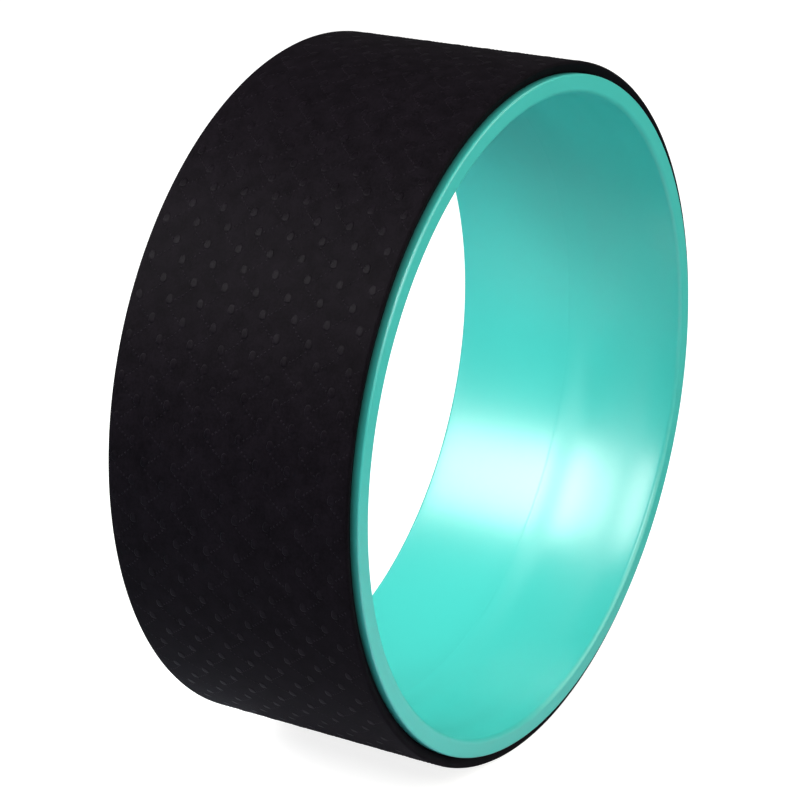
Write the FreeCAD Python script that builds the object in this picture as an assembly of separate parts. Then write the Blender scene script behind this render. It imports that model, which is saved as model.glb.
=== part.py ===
import FreeCAD, Part
import math
import os

# Yoga wheel: a moulded plastic hoop with a soft pad strip bonded round its tread.
# Frame in millimetres: origin at the wheel's centre, wheel axis along Y, +Z up.
# The wheel stands on its tread, and its two rims face -Y (front) and +Y (rear).

# Whole wheel
TREAD_DIAMETER = 330.0
HOOP_WIDTH = 127.0

# Hoop
HOOP_WALL = 9.0            # wall thickness at the rims
INNER_DRAFT_DEG = 0.25     # the inner wall opens by this angle from mid-width towards each rim
RIM_OUTER_ROUND = 1.0      # rounding between the tread side and the rim's end face
RIM_INNER_ROUND = 2.5      # rounding between the inner wall and the rim's end face
ROUND_WALL_SHARE = 0.45    # no rim rounding takes more of the wall than this

# Pad strip, and the adhesive film that bonds it to the hoop
PAD_THICKNESS = 5.3
PAD_MARGIN = 2.5           # bare hoop between the pad's edge and the hoop's end
PAD_EDGE_ROUND = 1.5       # rounding along the pad's two outer edges
PAD_ROUND_SHARE = 0.6      # the edge rounding takes no more of the pad's thickness than this
FILM_THICKNESS = 0.2
FILM_INSET = 2.5           # the film stops this far short of the pad's edges
SEAM_GAP = 0.4             # hairline where the strip's two ends meet
SEAM_ANGLE_DEG = -20.0     # place of that seam, from +X towards +Z
CONTACT_DEPTH = 0.5        # how far the pad is pressed flat where the wheel stands

# Sizes that follow from them
tread_radius = TREAD_DIAMETER / 2
pad_inner_radius = tread_radius - PAD_THICKNESS
hoop_outer_radius = pad_inner_radius - FILM_THICKNESS
rim_inner_radius = hoop_outer_radius - HOOP_WALL
half_hoop = HOOP_WIDTH / 2
half_pad = half_hoop - PAD_MARGIN
half_film = half_pad - FILM_INSET
waist_inner_radius = rim_inner_radius - half_hoop * math.tan(math.radians(INNER_DRAFT_DEG))

CENTRE = FreeCAD.Vector(0, 0, 0)
WHEEL_AXIS = FreeCAD.Vector(0, 1, 0)
FULL_TURN_DEG = 360.0
SAME_PLACE = 1e-6


def ring(points, turn_deg=FULL_TURN_DEG, start_deg=0.0):
    """Turn a closed outline of (radius, y) points about the wheel's axis.

    start_deg is the outline's place, from +X towards +Z, and the turn goes on towards +Z.
    """
    corners = [FreeCAD.Vector(radius, y, 0) for radius, y in points]
    outline = Part.Face(Part.makePolygon(corners + corners[:1]))
    solid = outline.revolve(CENTRE, WHEEL_AXIS, -turn_deg)
    solid.rotate(CENTRE, WHEEL_AXIS, -start_deg)
    return solid


def band(inner_radius, outer_radius, half_width):
    """Outline of a plain band: (radius, y) corners."""
    return [
        (inner_radius, -half_width),
        (outer_radius, -half_width),
        (outer_radius, half_width),
        (inner_radius, half_width),
    ]


def edge_circles(solid, radius, half_width):
    """The edges of a ring solid that run round it at this radius, on both of its ends."""
    found = []
    for edge in solid.Edges:
        if not isinstance(edge.Curve, Part.Circle):
            continue
        on_end = abs(abs(edge.Curve.Center.y) - half_width) < SAME_PLACE
        if on_end and abs(edge.Curve.Radius - radius) < SAME_PLACE:
            found.append(edge)
    return found


def make_hoop():
    """Hoop with a drafted inner wall, narrowest at mid-width, and rounded rims."""
    largest_round = ROUND_WALL_SHARE * HOOP_WALL
    outline = band(rim_inner_radius, hoop_outer_radius, half_hoop)
    solid = ring(outline + [(waist_inner_radius, 0)], start_deg=SEAM_ANGLE_DEG)
    outer_edges = edge_circles(solid, hoop_outer_radius, half_hoop)
    solid = solid.makeFillet(min(RIM_OUTER_ROUND, largest_round), outer_edges)
    inner_edges = edge_circles(solid, rim_inner_radius, half_hoop)
    return solid.makeFillet(min(RIM_INNER_ROUND, largest_round), inner_edges)


def make_strip(inner_radius, outer_radius, half_width):
    """A strip wrapped once round the hoop, with a hairline seam between its ends."""
    gap_deg = math.degrees(SEAM_GAP / tread_radius)
    start_deg = SEAM_ANGLE_DEG + gap_deg / 2
    return ring(band(inner_radius, outer_radius, half_width), FULL_TURN_DEG - gap_deg, start_deg)


def make_pad():
    """Pad strip with rounded outer edges, pressed flat where the wheel stands."""
    solid = make_strip(pad_inner_radius, tread_radius, half_pad)
    edges = edge_circles(solid, tread_radius, half_pad)
    solid = solid.makeFillet(min(PAD_EDGE_ROUND, PAD_ROUND_SHARE * PAD_THICKNESS), edges)
    below = FreeCAD.Vector(-tread_radius, -half_hoop, CONTACT_DEPTH - TREAD_DIAMETER)
    ground = Part.makeBox(TREAD_DIAMETER, HOOP_WIDTH, tread_radius, below)
    return solid.cut(ground)


def make_adhesive_film():
    """Double-sided adhesive film between the hoop and the pad."""
    return make_strip(hoop_outer_radius, pad_inner_radius, half_film)


NODES = {
    "hoop": make_hoop,
    "adhesive_film": make_adhesive_film,
    "pad": make_pad,
}

os.makedirs("parts", exist_ok=True)
for node, make in NODES.items():
    shape = make()
    shape.exportStep(os.path.join("parts", node + ".step"))
    box = shape.optimalBoundingBox()
    print(node, "valid", shape.isValid(), "solids", len(shape.Solids), "volume", round(shape.Volume, 1),
          "size", round(box.XLength, 3), round(box.YLength, 3), round(box.ZLength, 3))
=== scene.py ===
"""Yoga wheel: a glossy turquoise hoop with a black embossed foam pad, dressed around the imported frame."""
import logging
import math
from dataclasses import dataclass
from enum import Enum
from itertools import chain
from typing import Any

import bpy
import numpy as np
from mathutils import Matrix, Vector


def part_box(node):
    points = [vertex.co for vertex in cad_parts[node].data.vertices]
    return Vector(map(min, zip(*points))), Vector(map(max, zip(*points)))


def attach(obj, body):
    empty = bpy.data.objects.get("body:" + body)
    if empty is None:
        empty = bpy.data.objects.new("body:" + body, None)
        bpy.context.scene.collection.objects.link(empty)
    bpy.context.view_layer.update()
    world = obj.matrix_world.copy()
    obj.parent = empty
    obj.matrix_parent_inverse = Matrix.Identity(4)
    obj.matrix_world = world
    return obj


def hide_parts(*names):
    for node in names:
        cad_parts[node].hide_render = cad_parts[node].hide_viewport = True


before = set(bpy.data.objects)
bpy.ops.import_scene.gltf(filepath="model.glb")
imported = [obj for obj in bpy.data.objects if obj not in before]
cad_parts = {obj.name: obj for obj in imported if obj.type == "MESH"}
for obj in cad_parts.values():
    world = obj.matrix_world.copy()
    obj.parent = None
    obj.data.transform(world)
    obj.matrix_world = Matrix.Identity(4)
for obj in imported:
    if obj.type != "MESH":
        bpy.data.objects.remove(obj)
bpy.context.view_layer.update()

ROOT = "root"
FULL_TURN = 2 * math.pi
Colour = tuple[float, float, float, float]
WHITE: Colour = (1.0, 1.0, 1.0, 1.0)
Number = "Value | float"

log = logging.getLogger("yoga_wheel")


class Relief(Enum):
    """Levels of the pad's moulded surface: grained ground, polished dots and stitch-like beads."""

    GROUND = "ground"
    DOT = "dot"
    BEAD = "bead"


# Shader maths


class Value:
    """A shader socket that takes part in arithmetic: each operation adds a Math node."""

    def __init__(self, shader: "Shader", socket: bpy.types.NodeSocket) -> None:
        """Keep the socket and the shader that new nodes go into."""
        self.shader = shader
        self.socket = socket

    def _math(self, operation: str, first: Number, second: Number) -> "Value":
        """Add one Math node.

        Args:
            operation: Blender's name of the operation.
            first: left operand.
            second: right operand.

        Returns:
            The node's result.
        """
        return self.shader.node("ShaderNodeMath", {"operation": operation}, {0: first, 1: second})

    def __add__(self, other: Number) -> "Value":
        """self + other."""
        return self._math("ADD", self, other)

    def __radd__(self, other: Number) -> "Value":
        """other + self."""
        return self._math("ADD", other, self)

    def __sub__(self, other: Number) -> "Value":
        """self - other."""
        return self._math("SUBTRACT", self, other)

    def __rsub__(self, other: Number) -> "Value":
        """other - self."""
        return self._math("SUBTRACT", other, self)

    def __mul__(self, other: Number) -> "Value":
        """self times other."""
        return self._math("MULTIPLY", self, other)

    def __rmul__(self, other: Number) -> "Value":
        """other times self."""
        return self._math("MULTIPLY", other, self)

    def __pow__(self, other: Number) -> "Value":
        """self to the power of other."""
        return self._math("POWER", self, other)

    def __rpow__(self, other: Number) -> "Value":
        """other to the power of self."""
        return self._math("POWER", other, self)

    def size(self) -> "Value":
        """self without its sign."""
        return self._math("ABSOLUTE", self, 0.0)


class Shader:
    """One node material under construction."""

    def __init__(self, name: str) -> None:
        """Start a material with a Principled shader and its output.

        Args:
            name: the material's name.
        """
        self.material = bpy.data.materials.new(name)
        self.material.use_nodes = True
        self.tree = self.material.node_tree
        self.tree.nodes.clear()
        self.principled = self.tree.nodes.new("ShaderNodeBsdfPrincipled")
        output = self.tree.nodes.new("ShaderNodeOutputMaterial")
        self.tree.links.new(self.principled.outputs["BSDF"], output.inputs["Surface"])

    def node(self, kind: str, settings: dict[str, Any], inputs: dict[Any, Any], output: Any = 0) -> Value:
        """Add any node.

        Args:
            kind: the node's type.
            settings: its own properties, set first.
            inputs: socket name or number to a value or a link.
            output: name or number of the socket to return.

        Returns:
            The chosen output.
        """
        made = self.tree.nodes.new(kind)
        for key, value in settings.items():
            setattr(made, key, value)
        for key, value in inputs.items():
            self._feed(made.inputs[key], value)
        return Value(self, made.outputs[output])

    def _feed(self, socket: bpy.types.NodeSocket, value: Any) -> None:
        """Link a Value to a socket, or set a constant on it.

        Args:
            socket: the input to feed.
            value: a Value or a constant.
        """
        if isinstance(value, Value):
            self.tree.links.new(value.socket, socket)
        else:
            socket.default_value = value

    def surface(self, **inputs: Any) -> None:
        """Feed the Principled shader; underscores in names stand for spaces."""
        for key, value in inputs.items():
            self._feed(self.principled.inputs[key.replace("_", " ")], value)

    def place(self) -> Value:
        """Object coordinates."""
        return self.node("ShaderNodeTexCoord", {}, {}, "Object")

    def split(self, vector: Value) -> tuple[Value, Value, Value]:
        """The three parts of a vector."""
        made = self.node("ShaderNodeSeparateXYZ", {}, {0: vector}).socket.node
        return tuple(Value(self, socket) for socket in made.outputs)

    def noise(self, where: Value, size: float, detail: float = 2.0, roughness: float = 0.5) -> Value:
        """Fractal noise.

        Args:
            where: coordinates.
            size: width of its largest features, in metres of those coordinates.
            detail: octaves.
            roughness: strength of each octave against the one before.

        Returns:
            The noise, from 0 to 1.
        """
        inputs = {"Vector": where, "Scale": 1.0 / size, "Detail": detail, "Roughness": roughness}
        return self.node("ShaderNodeTexNoise", {}, inputs)

    def ramp(self, value: Value, low: float, high: float) -> Value:
        """A smooth step from 0 at low to 1 at high."""
        inputs = {"Value": value, "From Min": low, "From Max": high}
        return self.node("ShaderNodeMapRange", {"interpolation_type": "SMOOTHSTEP"}, inputs)

    def blend(self, factor: Number, first: Any, second: Any) -> Value:
        """Mix two colours by a factor."""
        inputs = {0: factor, 6: first, 7: second}
        return self.node("ShaderNodeMix", {"data_type": "RGBA"}, inputs, 2)

    def bump(self, height: Value, depth: float) -> Value:
        """A bumped normal: height from 0 to 1 over a depth in metres."""
        inputs = {"Height": height, "Distance": depth, "Strength": 1.0}
        return self.node("ShaderNodeBump", {}, inputs)


# Finishes


@dataclass(frozen=True)
class HoopPlastic:
    """Glossy moulded plastic: slightly clouded, with duller bands round it and painted shade along the pad.

    A band is its place across the width, its half-width and how dull its middle is. The painted shade is
    a dark line on the rim's outer rounding that stands in for the pad's shadow there. It comes in between
    the two radii given for it, and fades between the two distances from mid-width given for it, the
    second of which lies at the pad's side.
    """

    colour: Colour = (0.054, 0.556, 0.496, 1.0)
    shade: Colour = (0.049, 0.532, 0.474, 1.0)
    # line: painted shade, the dark colour of the pad's shadow on the rim
    line: Colour = (0.006, 0.060, 0.055, 1.0)
    specular: float = 0.86
    refraction: float = 1.6
    gloss: float = 0.285
    clouded: float = 0.03
    dulled: float = 0.16
    # Extra dullness where the painted shade lies beside the pad.
    painted_shade_dulled: float = 0.6
    cloud_size: float = 0.060
    # Where the painted shade lies: two radii, and two distances from mid-width over which it fades.
    painted_shade_radii: tuple[float, float] = (0.1570, 0.1592)
    painted_shade_reach: tuple[float, float] = (0.0632, 0.0583)
    dull_bands: tuple[tuple[float, float, float], ...] = (
        (-0.0455, 0.0095, 0.42),
        (-0.036, 0.017, 0.32),
        (-0.008, 0.010, 0.60),
        (0.068, 0.014, 0.40),
    )

    def dullness(self, shader: Shader, y: Value) -> Value:
        """How dull the gloss is: the sum of the bands, each a smooth hump across the width.

        Args:
            shader: the material.
            y: place across the width.

        Returns:
            The dullness, from 0 to 1.
        """
        humps = [
            strength * shader.ramp((y - place).size(), half_width, 0.0)
            for place, half_width, strength in self.dull_bands
        ]
        return sum(humps[1:], humps[0])

    def pad_painted_shade(self, shader: Shader, where: Value) -> Value:
        """How much painted shade the rim's outer rounding gets, for the pad's shadow: 1 next to the pad's
        edge, 0 on the rim's end face.

        Args:
            shader: the material.
            where: object coordinates.

        Returns:
            The painted shade's strength, from 0 to 1.
        """
        x, y, z = shader.split(where)
        radius = (x**2.0 + z**2.0) ** 0.5
        return shader.ramp(radius, *self.painted_shade_radii) * shader.ramp(y.size(), *self.painted_shade_reach)

    def make(self) -> bpy.types.Material:
        """Build the material.

        Returns:
            The hoop's material.
        """
        shader = Shader("glossy_hoop_plastic")
        where = shader.place()
        y = shader.split(where)[1]
        clouds = shader.noise(where, self.cloud_size, detail=3.0)
        # line: how much painted shade, standing in for the pad's shadow on the rim beside it
        line = self.pad_painted_shade(shader, where)
        dull = self.dullness(shader, y) + self.painted_shade_dulled * line
        shader.surface(
            Base_Color=shader.blend(line, shader.blend(clouds, self.shade, self.colour), self.line),
            Roughness=self.gloss + self.clouded * clouds + self.dulled * dull,
            Specular_IOR_Level=self.specular,
            IOR=self.refraction,
        )
        return shader.material


@dataclass(frozen=True)
class PadFoam:
    """Matte black closed-cell foam: a fine grain on the ground, smoother on what stands proud."""

    relief: Relief
    dark: Colour = (0.0026, 0.0019, 0.0028, 1.0)
    light: Colour = (0.0068, 0.0051, 0.0073, 1.0)
    grain_size: float = 0.0011
    patch_size: float = 0.008
    grain_share: float = 0.55
    patch_share: float = 0.45
    mottle_range: tuple[float, float] = (0.3, 0.7)
    grain_roughness: float = 0.16

    @property
    def specular(self) -> float:
        """Raised foam is pressed denser than the porous ground, and reflects more."""
        return {Relief.GROUND: 0.027, Relief.DOT: 0.031, Relief.BEAD: 0.034}[self.relief]

    @property
    def painted_sheen(self) -> float:
        """How much paler the level is than the ground: painted sheen, for the light that raised foam catches.
        """
        return {Relief.GROUND: 1.0, Relief.DOT: 1.15, Relief.BEAD: 1.5}[self.relief]

    def with_painted_sheen(self, colour: Colour) -> Colour:
        """A colour of the ground, made paler on this level as painted sheen."""
        return tuple(self.painted_sheen * part for part in colour[:3]) + (1.0,)

    @property
    def roughness(self) -> float:
        """Raised foam is pressed smoother than the grained ground."""
        return {Relief.GROUND: 0.52, Relief.DOT: 0.34, Relief.BEAD: 0.38}[self.relief]

    @property
    def grain_depth(self) -> float:
        """Depth of the grain in metres."""
        return {Relief.GROUND: 0.00006, Relief.DOT: 0.00002, Relief.BEAD: 0.00002}[self.relief]

    def make(self) -> bpy.types.Material:
        """Build the material.

        Returns:
            The material of one level of the pad's surface.
        """
        shader = Shader("pad_foam_" + self.relief.value)
        where = shader.place()
        grain = shader.noise(where, self.grain_size, detail=2.0, roughness=0.6)
        patches = shader.noise(where, self.patch_size, detail=3.0, roughness=0.6)
        mixed = self.grain_share * grain + self.patch_share * patches
        mottle = shader.ramp(mixed, *self.mottle_range)
        shader.surface(
            # Dots and beads get paler copies of the ground's colours: painted sheen.
            Base_Color=shader.blend(mottle, self.with_painted_sheen(self.dark), self.with_painted_sheen(self.light)),
            Roughness=self.roughness + self.grain_roughness * grain,
            Specular_IOR_Level=self.specular,
            Normal=shader.bump(grain, self.grain_depth),
        )
        return shader.material


@dataclass(frozen=True)
class AdhesiveFilm:
    """Pale clear film with a slightly uneven tack."""

    colour: Colour = (0.62, 0.59, 0.50, 1.0)
    shade: Colour = (0.50, 0.47, 0.38, 1.0)
    blotch_size: float = 0.004
    roughness: float = 0.35
    uneven: float = 0.2

    def make(self) -> bpy.types.Material:
        """Build the material.

        Returns:
            The film's material.
        """
        shader = Shader("adhesive_film")
        blotches = shader.noise(shader.place(), self.blotch_size, detail=3.0)
        shader.surface(
            Base_Color=shader.blend(blotches, self.shade, self.colour),
            Roughness=self.roughness + self.uneven * blotches,
        )
        return shader.material


@dataclass(frozen=True)
class PaleFloor:
    """Studio floor in two colours: near round a middle (x, y), far beyond it.
    A paler near colour is a painted pool of light.

    One turns into the other between the two distances of reach. With a glow, shadows stay faint.
    """

    name: str
    near: Colour
    far: Colour
    glow: float = 0.0
    middle: tuple[float, float] = (-0.25, -0.22)
    reach: tuple[float, float] = (0.30, 0.60)
    roughness: float = 0.9

    def make(self) -> bpy.types.Material:
        """Build the material.

        Returns:
            The floor's material.
        """
        shader = Shader(self.name)
        x, y, _ = shader.split(shader.place())
        distance = ((x - self.middle[0]) ** 2.0 + (y - self.middle[1]) ** 2.0) ** 0.5
        shader.surface(
            # painted pool of light: the near colour round the middle, the far colour beyond
            Base_Color=shader.blend(shader.ramp(distance, *self.reach), self.near, self.far),
            Roughness=self.roughness,
            Specular_IOR_Level=0.0,
            Emission_Color=WHITE,
            Emission_Strength=self.glow,
        )
        return shader.material


# Surfaces


def grid_faces(rows: int, columns: int, wrap_rows: bool, wrap_columns: bool) -> np.ndarray:
    """Quads of a grid of points that is stored row by row.

    Args:
        rows: number of rows.
        columns: points in a row.
        wrap_rows: join the last row to the first.
        wrap_columns: join each row's last point to its first.

    Returns:
        Corner numbers, four to a quad.
    """
    row, column = np.meshgrid(
        np.arange(rows - (not wrap_rows)), np.arange(columns - (not wrap_columns)), indexing="ij"
    )
    next_row = (row + 1) % rows
    next_column = (column + 1) % columns
    corners = [(row, column), (next_row, column), (next_row, next_column), (row, next_column)]
    return np.stack([r * columns + c for r, c in corners], axis=-1).reshape(-1, 4)


def turned(profile: np.ndarray, angles: np.ndarray) -> np.ndarray:
    """A profile carried round the wheel's axis: (radius, y) at each angle from +X towards +Z.

    Args:
        profile: (radius, y) pairs, or one row of pairs for each angle.
        angles: where the profile stands, in radians.

    Returns:
        Points as an array of angles by profile points by 3.
    """
    radius, y = np.broadcast_to(profile, (len(angles),) + profile.shape[-2:]).transpose(2, 0, 1)
    return np.stack([radius * np.cos(angles)[:, None], y, radius * np.sin(angles)[:, None]], axis=-1)


def arc(
    centre: tuple[float, float], radius: float, start_deg: float, end_deg: float, steps: int
) -> np.ndarray:
    """Points along a circular arc in the (radius, y) plane, both ends included.

    Args:
        centre: the arc's centre.
        radius: its radius.
        start_deg: first angle, from the outward direction towards +Y.
        end_deg: last angle.
        steps: number of points.

    Returns:
        The points as (radius, y) pairs.
    """
    angle = np.radians(np.linspace(start_deg, end_deg, steps))
    return np.column_stack([centre[0] + radius * np.cos(angle), centre[1] + radius * np.sin(angle)])


def run(start: tuple[float, float], end: tuple[float, float], steps: int) -> np.ndarray:
    """Points inside a straight run in the (radius, y) plane, its two ends left out."""
    share = np.linspace(0.0, 1.0, steps + 2)[1:-1, None]
    return np.asarray(start) * (1 - share) + np.asarray(end) * share


def add_mesh(name: str, points: np.ndarray, *faces: np.ndarray) -> bpy.types.Object:
    """Put a smooth-shaded mesh into the scene.

    Args:
        name: the piece's name.
        points: vertex places, in metres.
        faces: blocks of corner numbers, each block with as many corners a face as its columns.

    Returns:
        The new object, at the origin.
    """
    mesh = bpy.data.meshes.new(name)
    mesh.from_pydata(points.reshape(-1, 3).tolist(), [], list(chain.from_iterable(f.tolist() for f in faces)))
    mesh.shade_smooth()
    made = bpy.data.objects.new(name, mesh)
    bpy.context.scene.collection.objects.link(made)
    return made


def dress(piece: bpy.types.Object, material: bpy.types.Material) -> None:
    """Give a new piece its finish and its place in the frame.

    Args:
        piece: the new object.
        material: its finish.
    """
    piece.data.materials.append(material)
    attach(piece, ROOT)
    log.info("%s: %d faces", piece.name, len(piece.data.polygons))


# Sub-assemblies


@dataclass
class Hoop:
    """The moulded ring. Sizes in metres."""

    outer_radius: float = 0.1595
    wall: float = 0.009
    half_width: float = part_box("hoop")[1].y
    outer_round: float = 0.001
    inner_round: float = 0.0025
    draft_deg: float = 0.25
    parting_height: float = 0.00006
    parting_width: float = 0.0004
    turns: int = 480
    tread_steps: int = 15
    face_steps: int = 3
    wall_steps: int = 61
    round_steps: int = 13

    def wall_radius(self, y: np.ndarray) -> np.ndarray:
        """Inner radius: a draft that opens from mid-width to each rim, less a fine parting ridge.

        The ridge is a bell curve across the width.

        Args:
            y: places across the width.

        Returns:
            The radius at each place.
        """
        narrowing = (self.half_width - np.abs(y)) * math.tan(math.radians(self.draft_deg))
        ridge = self.parting_height * np.exp(-((y / self.parting_width) ** 2))
        return self.outer_radius - self.wall - narrowing - ridge

    def profile(self) -> np.ndarray:
        """Closed outline of the wall's section.

        The outline goes along the tread side to the front, over the front rim, back along the inner
        wall and over the rear rim. The wall's points crowd towards the parting line: their y goes
        with the square of an even step.

        Returns:
            (radius, y) pairs.
        """
        outer, inner = self.outer_round, self.inner_round
        wall_end = self.half_width - inner
        even = np.linspace(-1.0, 1.0, self.wall_steps)[1:-1]
        wall_y = wall_end * np.sign(even) * even**2
        rim_inner = float(self.wall_radius(np.array([wall_end]))[0]) + inner
        rim_outer = self.outer_radius - outer
        tread_end = self.half_width - outer
        half = self.half_width
        return np.concatenate([
            run((self.outer_radius, tread_end), (self.outer_radius, -tread_end), self.tread_steps),
            arc((rim_outer, -tread_end), outer, 0, -90, self.round_steps),
            run((rim_outer, -half), (rim_inner, -half), self.face_steps),
            arc((rim_inner, -wall_end), inner, -90, -180, self.round_steps),
            np.column_stack([self.wall_radius(wall_y), wall_y]),
            arc((rim_inner, wall_end), inner, 180, 90, self.round_steps),
            run((rim_inner, half), (rim_outer, half), self.face_steps),
            arc((rim_outer, tread_end), outer, 90, 0, self.round_steps),
        ])

    def build(self) -> bpy.types.Object:
        """Turn the profile all the way round and dress it.

        Returns:
            The hoop, in place of the plain one.
        """
        profile = self.profile()
        angles = np.linspace(0.0, FULL_TURN, self.turns, endpoint=False)
        faces = grid_faces(self.turns, len(profile), True, True)
        piece = add_mesh("hoop_moulding", turned(profile, angles), faces)
        dress(piece, HoopPlastic().make())
        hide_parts("hoop")
        return piece


@dataclass
class Lens:
    """A small closed swelling with a flat underside, in its own (across, along, up) frame.

    Rings shrink and rise from the underside to the top: each has a share of the outline's size and a
    share of the height. The first is the underside's edge, sunk below the surface it stands on.
    """

    outline: np.ndarray
    rings: tuple[tuple[float, float], ...]
    height: float
    sunk: float

    def shape(self) -> tuple[np.ndarray, np.ndarray, np.ndarray]:
        """The swelling's mesh.

        Returns:
            Points, quads between the rings, and triangles round the two centres.
        """
        count = len(self.outline)
        share = np.array([ring[0] for ring in self.rings])
        rise = np.array([ring[1] for ring in self.rings]) * self.height
        rise[0] = -self.sunk
        flat = share[:, None, None] * self.outline[None]
        lift = np.broadcast_to(rise[:, None, None], (len(share), count, 1))
        middle = np.array([[0.0, 0.0, self.height], [0.0, 0.0, -self.sunk]])
        points = np.concatenate([np.concatenate([flat, lift], axis=2).reshape(-1, 3), middle])
        quads = grid_faces(len(share), count, False, True)[:, ::-1]
        edge = np.arange(count)
        after = (edge + 1) % count
        last = (len(share) - 1) * count
        top = np.stack([edge + last, after + last, np.full(count, len(points) - 2)], axis=1)
        under = np.stack([after, edge, np.full(count, len(points) - 1)], axis=1)
        return points, quads, np.concatenate([top, under])


@dataclass
class Emboss:
    """The pad's raised non-slip pattern: oblong dots in zigzag columns, joined by rows of beads.

    Places are given on the unrolled tread: arc, the way round from +X towards +Z at the tread's
    radius, and y across it. Sizes in metres.
    """

    column_pitch: float = 0.01575
    row_pitch: float = 0.00893
    swing: float = 0.0095
    row_lean: float = 0.00015
    column_rise: float = 0.00034
    anchor_y: float = 0.04014
    anchor_arc: float = 0.41448
    dot_length: float = 0.0044
    dot_width: float = 0.0032
    dot_height: float = 0.00011
    dot_taper: float = 0.16
    dot_power: float = 0.8
    dot_corners: int = 14
    dot_rings: tuple[tuple[float, float], ...] = ((1.12, 0.0), (0.94, 0.36), (0.72, 0.74), (0.42, 0.94))
    beads: int = 5
    bead_first: tuple[float, float] = (0.0006, 0.0034)
    bead_last: tuple[float, float] = (0.0069, 0.0087)
    bead_bow: float = 0.00035
    bead_length: float = 0.0013
    bead_width: float = 0.0010
    bead_height: float = 0.00006
    bead_corners: int = 6
    bead_rings: tuple[tuple[float, float], ...] = ((1.15, 0.0), (0.70, 0.72))
    sunk: float = 0.00012

    def dots(self, arc_start: float, arc_end: float, reach: float) -> tuple[np.ndarray, ...]:
        """Places of the dots: even steps across and along, odd rows swung to the front, slightly skewed.

        Args:
            arc_start: where the strip begins.
            arc_end: where it ends.
            reach: how far from mid-width the pattern is looked for.

        Returns:
            Arc, y and row number of each dot.
        """
        first = math.floor((arc_start - self.anchor_arc) / self.row_pitch)
        last = math.ceil((arc_end - self.anchor_arc) / self.row_pitch)
        columns = math.ceil(2 * reach / self.column_pitch)
        row, column = np.meshgrid(np.arange(first, last + 1), np.arange(-columns, columns + 1), indexing="ij")
        y = self.anchor_y + column * self.column_pitch + row * self.row_lean - self.swing * (row % 2)
        place = self.anchor_arc + row * self.row_pitch + column * self.column_rise
        return place.ravel(), y.ravel(), row.ravel()

    def dot_lens(self) -> Lens:
        """An oblong dot: a superellipse, wider towards the end that faces along the arc.

        Returns:
            The dot's swelling.
        """
        turn = np.linspace(0.0, FULL_TURN, self.dot_corners, endpoint=False)
        along = np.sign(np.sin(turn)) * np.abs(np.sin(turn)) ** self.dot_power * self.dot_length / 2
        across = np.sign(np.cos(turn)) * np.abs(np.cos(turn)) ** self.dot_power * self.dot_width / 2
        across = across * (1 + self.dot_taper * along / (self.dot_length / 2))
        return Lens(np.column_stack([across, along]), self.dot_rings, self.dot_height, self.sunk)

    def bead_lens(self) -> Lens:
        """A bead: a small ellipse.

        Returns:
            The bead's swelling.
        """
        turn = np.linspace(0.0, FULL_TURN, self.bead_corners, endpoint=False)
        outline = np.column_stack([np.cos(turn) * self.bead_width / 2, np.sin(turn) * self.bead_length / 2])
        return Lens(outline, self.bead_rings, self.bead_height, self.sunk)

    def bead_places(self, place: np.ndarray, y: np.ndarray, row: np.ndarray) -> tuple[np.ndarray, ...]:
        """Places of the beads: from each dot to the side of the next one in its zigzag.

        They stand at even steps on a slight bow, a parabola that is bead_bow high at its middle.

        Args:
            place: dots' places along the tread.
            y: dots' places across it.
            row: dots' row numbers.

        Returns:
            Arc, y and the way that the row of beads turns, in radians from along to across.
        """
        share = np.linspace(0.0, 1.0, self.beads)
        way = np.where(row % 2 == 0, -1.0, 1.0)[:, None]
        across = self.bead_first[0] + (self.bead_last[0] - self.bead_first[0]) * share
        down = self.bead_first[1] + (self.bead_last[1] - self.bead_first[1]) * share
        down = down + 4 * self.bead_bow * share * (1 - share)
        lean = math.atan2(self.bead_last[0] - self.bead_first[0], self.bead_last[1] - self.bead_first[1])
        turns = np.broadcast_to(way * lean, (len(place), self.beads))
        places = place[:, None] + down, y[:, None] + way * across, turns
        return tuple(p.ravel() for p in places)


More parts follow.
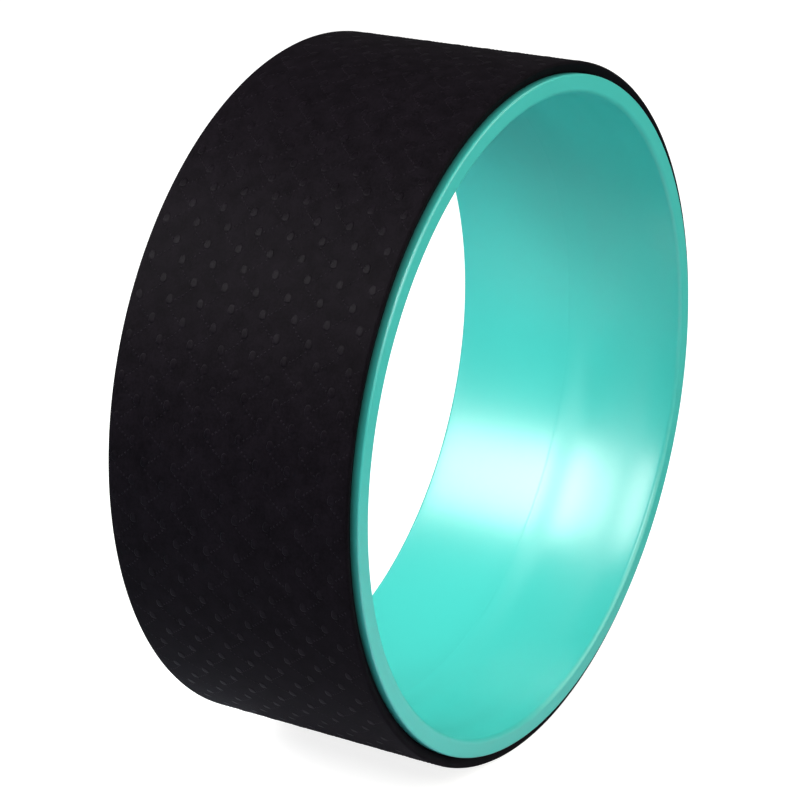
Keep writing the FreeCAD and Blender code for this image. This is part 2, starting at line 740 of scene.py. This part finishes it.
@dataclass
class Pad:
    """The foam strip round the tread, with its seam, its flattened foot and its raised pattern.

    Sizes in metres. A ripple is its waves round the tread, their phase, its waves across in radians
    a metre, and their phase.
    """

    radius: float = 0.165
    inner_radius: float = 0.1597
    lip_radius: float = 0.15953
    lip_width: float = 0.0006
    half_width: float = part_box("pad")[1].y
    foot_inset: float = 0.0018
    edge_round: float = 0.0012
    floor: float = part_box("pad")[0].z
    foot_clearance: float = 0.0016
    seam_deg: float = -20.0
    seam_gap: float = 0.0002
    seam_dip: float = 0.00025
    seam_reach: float = 0.0009
    ripple: float = 0.00003
    ripples: tuple[tuple[float, ...], ...] = ((23, 0.0, 40, 0.0), (41, 1.3, 65, 0.7))
    turns: int = 640
    crowding: float = 0.9
    width_steps: int = 41
    edge_steps: int = 8
    side_steps: int = 3
    fill: float = 0.95

    @property
    def foot(self) -> float:
        """Half the width of the bonded underside, from which the cut edges lean out."""
        return self.half_width - self.foot_inset

    @property
    def arc_start(self) -> float:
        """Where the strip begins, along the tread from +X."""
        return math.radians(self.seam_deg) * self.radius + self.seam_gap / 2

    @property
    def arc_end(self) -> float:
        """Where the strip ends."""
        return self.arc_start + FULL_TURN * self.radius - self.seam_gap

    @property
    def arc_bottom(self) -> float:
        """Where the wheel stands: three quarters of a turn from +X."""
        return 0.75 * FULL_TURN * self.radius

    def profile(self) -> np.ndarray:
        """Closed outline of the strip's section: tread, front edge, underside and rear edge.

        Returns:
            (radius, y) pairs.
        """
        half, edge = self.half_width, self.edge_round
        corner = self.radius - edge
        return np.concatenate([
            run((self.radius, half - edge), (self.radius, edge - half), self.width_steps),
            arc((corner, edge - half), edge, 0, -90, self.edge_steps),
            run((corner, -half), (self.lip_radius, -self.foot), self.side_steps),
            self.underside(),
            run((self.lip_radius, self.foot), (corner, half), self.side_steps),
            arc((corner, half - edge), edge, 90, 0, self.edge_steps),
        ])

    def underside(self) -> np.ndarray:
        """Underside of the section: flat on the film, and down on the hoop along its two edges.

        Returns:
            (radius, y) pairs from front to rear.
        """
        edge = self.foot
        inner = edge - self.lip_width
        y = np.array([-edge, -inner, -inner, 0.0, inner, inner, edge])
        low, high = self.lip_radius, self.inner_radius
        return np.column_stack([[low, low, high, high, high, low, low], y])

    def rippled(self, angle: np.ndarray, y: np.ndarray) -> np.ndarray:
        """Slow ripple of the tread: a sum of products of a wave round and a wave across.

        It is shifted so that it only takes foam away.

        Args:
            angle: places round the wheel, in radians.
            y: places across it.

        Returns:
            Heights, angles by places across, none above zero.
        """
        waves = sum(
            np.sin(around * angle + turn)[:, None] * np.cos(across * y + shift)[None]
            for around, turn, across, shift in self.ripples
        )
        count = len(self.ripples)
        return self.ripple / count * (waves - count)

    def strip(self) -> bpy.types.Object:
        """The strip itself, with ends that meet at the seam.

        The tread's radius falls by a small bell curve at each end and carries the ripple. Angles crowd
        towards the ends: an even step less a share of its sine.

        Returns:
            The strip's object.
        """
        even = np.linspace(0.0, 1.0, self.turns)
        share = even - self.crowding * np.sin(FULL_TURN * even) / FULL_TURN
        place = self.arc_start + (self.arc_end - self.arc_start) * share
        from_end = np.minimum(place - self.arc_start, self.arc_end - place)
        dip = self.seam_dip * np.exp(-((from_end / self.seam_reach) ** 2))
        profile = self.profile()
        height = np.clip((profile[:, 0] - self.inner_radius) / (self.radius - self.inner_radius), 0.0, 1.0)
        angle = place / self.radius
        sections = np.broadcast_to(profile, (self.turns,) + profile.shape).copy()
        sections[:, :, 0] += height * (self.rippled(angle, profile[:, 1]) - dip[:, None])
        points = self.pressed(turned(sections, angle))
        count = len(profile)
        faces = grid_faces(self.turns, count, False, True)
        first = np.arange(count)[None]
        last = (self.turns - 1) * count + np.arange(count)[None, ::-1]
        return add_mesh("pad_strip", points, faces, first, last)

    def pressed(self, points: np.ndarray) -> np.ndarray:
        """Points with their lowest ones pressed flat on the ground.

        Args:
            points: places of vertices.

        Returns:
            The places, none below the ground.
        """
        flat = points.copy()
        flat[..., 2] = np.maximum(flat[..., 2], self.floor)
        return flat

    def laid(self, lens: Lens, place: np.ndarray, y: np.ndarray, lean: np.ndarray) -> tuple[np.ndarray, ...]:
        """Copies of a swelling bent round the tread.

        A copy's own (across, along) point is turned by its lean, added to its place, and wrapped:
        the angle is the arc over the tread's radius.

        Args:
            lens: the swelling.
            place: arc of each copy.
            y: place of each copy across the tread.
            lean: turn of each copy, in radians.

        Returns:
            Points, quads and triangles of all the copies.
        """
        points, quads, triangles = lens.shape()
        cos, sin = np.cos(lean)[:, None], np.sin(lean)[:, None]
        across = y[:, None] + points[None, :, 0] * cos + points[None, :, 1] * sin
        along = place[:, None] + points[None, :, 1] * cos - points[None, :, 0] * sin
        radius = self.radius + points[None, :, 2]
        angle = along / self.radius
        bent = np.stack([radius * np.cos(angle), across, radius * np.sin(angle)], axis=-1)
        step = (np.arange(len(place)) * len(points))[:, None, None]
        copies = (quads[None] + step).reshape(-1, 4), (triangles[None] + step).reshape(-1, 3)
        return bent, *copies

    def inside(self, place: np.ndarray, y: np.ndarray, along: float, across: float) -> np.ndarray:
        """Which copies lie wholly on the strip's round tread, clear of its flattened foot.

        Args:
            place: arc of each copy.
            y: place of each copy across the tread.
            along: half a copy's size along the tread.
            across: half its size across.

        Returns:
            True for each copy that stays.
        """
        on_arc = (place - along > self.arc_start) & (place + along < self.arc_end)
        foot = math.acos(-self.floor / self.radius) * self.radius + self.foot_clearance
        clear = np.abs(place - self.arc_bottom) - along > foot
        return on_arc & clear & (np.abs(y) + across + self.edge_round < self.half_width)

    def pattern(self, emboss: Emboss) -> tuple[bpy.types.Object, bpy.types.Object]:
        """The raised pattern's two pieces.

        Args:
            emboss: the pattern's sizes.

        Returns:
            The dots and the beads.
        """
        place, y, row = emboss.dots(self.arc_start, self.arc_end, self.half_width)
        bead_place, bead_y, bead_lean = emboss.bead_places(place, y, row)
        keep = self.inside(place, y, emboss.dot_length / 2, emboss.dot_width / 2)
        lean = np.zeros(len(place))
        dots = add_mesh("pad_raised_dots", *self.laid(emboss.dot_lens(), place[keep], y[keep], lean[keep]))
        keep = self.inside(bead_place, bead_y, emboss.bead_length / 2, emboss.bead_length / 2)
        beads = self.laid(emboss.bead_lens(), bead_place[keep], bead_y[keep], bead_lean[keep])
        return dots, add_mesh("pad_raised_beads", *beads)

    def build(self, emboss: Emboss) -> list[bpy.types.Object]:
        """Make and dress the strip and its raised pattern.

        Args:
            emboss: the pattern's sizes.

        Returns:
            The pad's pieces, the strip first.
        """
        strip = self.strip()
        dots, beads = self.pattern(emboss)
        for piece, relief in ((strip, Relief.GROUND), (dots, Relief.DOT), (beads, Relief.BEAD)):
            dress(piece, PadFoam(relief).make())
        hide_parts("pad")
        return [strip, dots, beads]


@dataclass
class Film:
    """The hidden adhesive film, which keeps its own solid."""

    node: str = "adhesive_film"

    def build(self) -> None:
        """Dress the film's own mesh."""
        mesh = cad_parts[self.node].data
        mesh.materials.clear()
        mesh.materials.append(AdhesiveFilm().make())
        log.info("%s: dressed", self.node)


# Stage, light and camera


@dataclass
class Stage:
    """Pale floor under the wheel and a backdrop all round it. Sizes in metres.

    The camera sees a glowing floor and backdrop. The wheel's light bounces off a plain floor just below,
    which carries a painted pool of light: pale at the left in front of the wheel, and darker and
    blue-green further away.
    """

    wheel_foot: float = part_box("pad")[0].z
    gap: float = 0.00005
    apart: float = 0.0002
    half_size: float = 6.0
    backdrop_height: float = 8.0
    backdrop_sides: int = 96
    glowing: PaleFloor = PaleFloor("glowing_floor", (0.51, 0.51, 0.51, 1.0), (0.49, 0.49, 0.49, 1.0), 0.84)
    # plain_floor: a painted pool of light, pale near the wheel's front left and dark blue-green further away
    plain: PaleFloor = PaleFloor("plain_floor", (0.57, 0.57, 0.65, 1.0), (0.13, 0.27, 0.30, 1.0))

    @property
    def level(self) -> float:
        """Height of the floor that the camera sees, a hair under the wheel."""
        return self.wheel_foot - self.gap

    def add(self, name: str, points: np.ndarray, faces: np.ndarray, finish: PaleFloor) -> bpy.types.Object:
        """Put a piece of the stage into the scene.

        Args:
            name: the piece's name.
            points: vertex places.
            faces: corner numbers.
            finish: its material.

        Returns:
            The piece.
        """
        made = add_mesh(name, points, faces)
        made.data.materials.append(finish.make())
        return made

    def sheet(self, level: float) -> tuple[np.ndarray, np.ndarray]:
        """A square sheet.

        Args:
            level: its height.

        Returns:
            Its points and its one face.
        """
        reach = self.half_size
        corners = np.array([[-reach, -reach], [reach, -reach], [reach, reach], [-reach, reach]])
        return np.column_stack([corners, np.full(4, level)]), np.arange(4)[None]

    def band(self) -> tuple[np.ndarray, np.ndarray]:
        """An upright band: a circle round the floor, carried up.

        Returns:
            Its points and faces.
        """
        angle = np.linspace(0.0, FULL_TURN, self.backdrop_sides, endpoint=False)[:, None]
        height = np.array([[self.level, self.level + self.backdrop_height]])
        circle = self.half_size * np.cos(angle), self.half_size * np.sin(angle)
        points = np.stack(np.broadcast_arrays(*circle, height), axis=-1)
        return points, grid_faces(self.backdrop_sides, 2, True, False)

    def build(self) -> None:
        """Lay the two floors and put up the backdrop."""
        floor = self.add("floor", *self.sheet(self.level), self.glowing)
        backdrop = self.add("backdrop", *self.band(), self.glowing)
        for piece in (floor, backdrop):
            piece.visible_diffuse = False
            piece.visible_glossy = False
            piece.visible_shadow = False
        bounce = self.add("floor_bounce", *self.sheet(self.level - self.apart), self.plain)
        bounce.visible_camera = False


@dataclass
class SoftBox:
    """A rectangular soft light that faces the wheel. Sizes in metres."""

    name: str
    place: tuple[float, float, float]
    along: tuple[float, float, float]
    length: float
    width: float
    radiance: float
    tint: tuple[float, float, float] = (1.0, 1.0, 1.0)

    def build(self) -> None:
        """Hang the light, its length along its direction. Its power is radiance times area times pi."""
        light = bpy.data.lights.new(self.name, "AREA")
        light.shape = "RECTANGLE"
        light.size = self.length
        light.size_y = self.width
        light.color = self.tint
        light.energy = self.radiance * self.length * self.width * math.pi
        lamp = bpy.data.objects.new(self.name, light)
        outward = Vector(self.place).normalized()
        across = outward.cross(Vector(self.along)).normalized()
        turn = Matrix((across.cross(outward), across, outward)).transposed()
        lamp.matrix_world = Matrix.Translation(self.place) @ turn.to_4x4()
        bpy.context.scene.collection.objects.link(lamp)


@dataclass
class Studio:
    """Soft lights: two behind the wheel at the left, a tall one by the camera, one high at the right.

    A wide dim panel in front and a faint surround fill the rest.
    """

    surround: float = 0.13
    softboxes: tuple[SoftBox, ...] = (
        SoftBox(
            "side_softbox", place=(-0.76, 0.50, 0.873), along=(0.73, 0.0, 0.68),
            length=0.74, width=0.51, radiance=12.2,
        ),
        SoftBox(
            "camera_softbox", place=(-1.28, -1.32, 1.84), along=(0.0, 0.0, 1.0),
            length=1.5, width=0.65, radiance=9.9, tint=(1.0, 1.0, 0.96),
        ),
        SoftBox(
            "rear_softbox", place=(-0.55, 1.35, 0.75), along=(1.0, 0.0, 0.0),
            length=0.9, width=0.6, radiance=6.9,
        ),
        SoftBox(
            "right_softbox", place=(1.25, -0.29, 1.53), along=(0.0, 1.0, 0.0),
            length=0.8, width=0.8, radiance=1.5,
        ),
        SoftBox(
            "front_panel", place=(0.55, -1.70, 0.75), along=(1.0, 0.0, 0.0),
            length=2.4, width=1.7, radiance=1.85, tint=(1.0, 1.0, 0.86),
        ),
    )

    def build(self) -> None:
        """Set the lights and the surround."""
        for box in self.softboxes:
            box.build()
        world = bpy.data.worlds.new("surround")
        world.use_nodes = True
        background = world.node_tree.nodes["Background"]
        background.inputs["Color"].default_value = WHITE
        background.inputs["Strength"].default_value = self.surround
        bpy.context.scene.world = world
        bpy.context.scene.view_settings.view_transform = "Standard"


@dataclass
class PhotoCamera:
    """The photograph's viewpoint, aimed at the wheel's centre."""

    azimuth_deg: float = -59.51
    elevation_deg: float = 20.52
    distance: float = 1.2516
    lens_mm: float = 119.2
    sensor_mm: float = 36.0
    shift: tuple[float, float] = (-0.0280, -0.0060)

    def build(self) -> None:
        """Place the camera and make it the scene's own."""
        azimuth, elevation = math.radians(self.azimuth_deg), math.radians(self.elevation_deg)
        level = math.cos(elevation)
        back = Vector((math.sin(azimuth) * level, -math.cos(azimuth) * level, math.sin(elevation)))
        camera = bpy.data.cameras.new("photo_camera")
        camera.lens = self.lens_mm
        camera.sensor_width = self.sensor_mm
        camera.shift_x, camera.shift_y = self.shift
        holder = bpy.data.objects.new("photo_camera", camera)
        holder.location = back * self.distance
        holder.rotation_euler = (-back).to_track_quat("-Z", "Y").to_euler()
        bpy.context.scene.collection.objects.link(holder)
        bpy.context.scene.camera = holder


def main() -> None:
    """Build the wheel, its floor, its light and its camera."""
    logging.basicConfig(level=logging.INFO, format="%(name)s: %(message)s")
    Hoop().build()
    Pad().build(Emboss())
    Film().build()
    Stage().build()
    Studio().build()
    PhotoCamera().build()


if __name__ == "__main__":
    main()
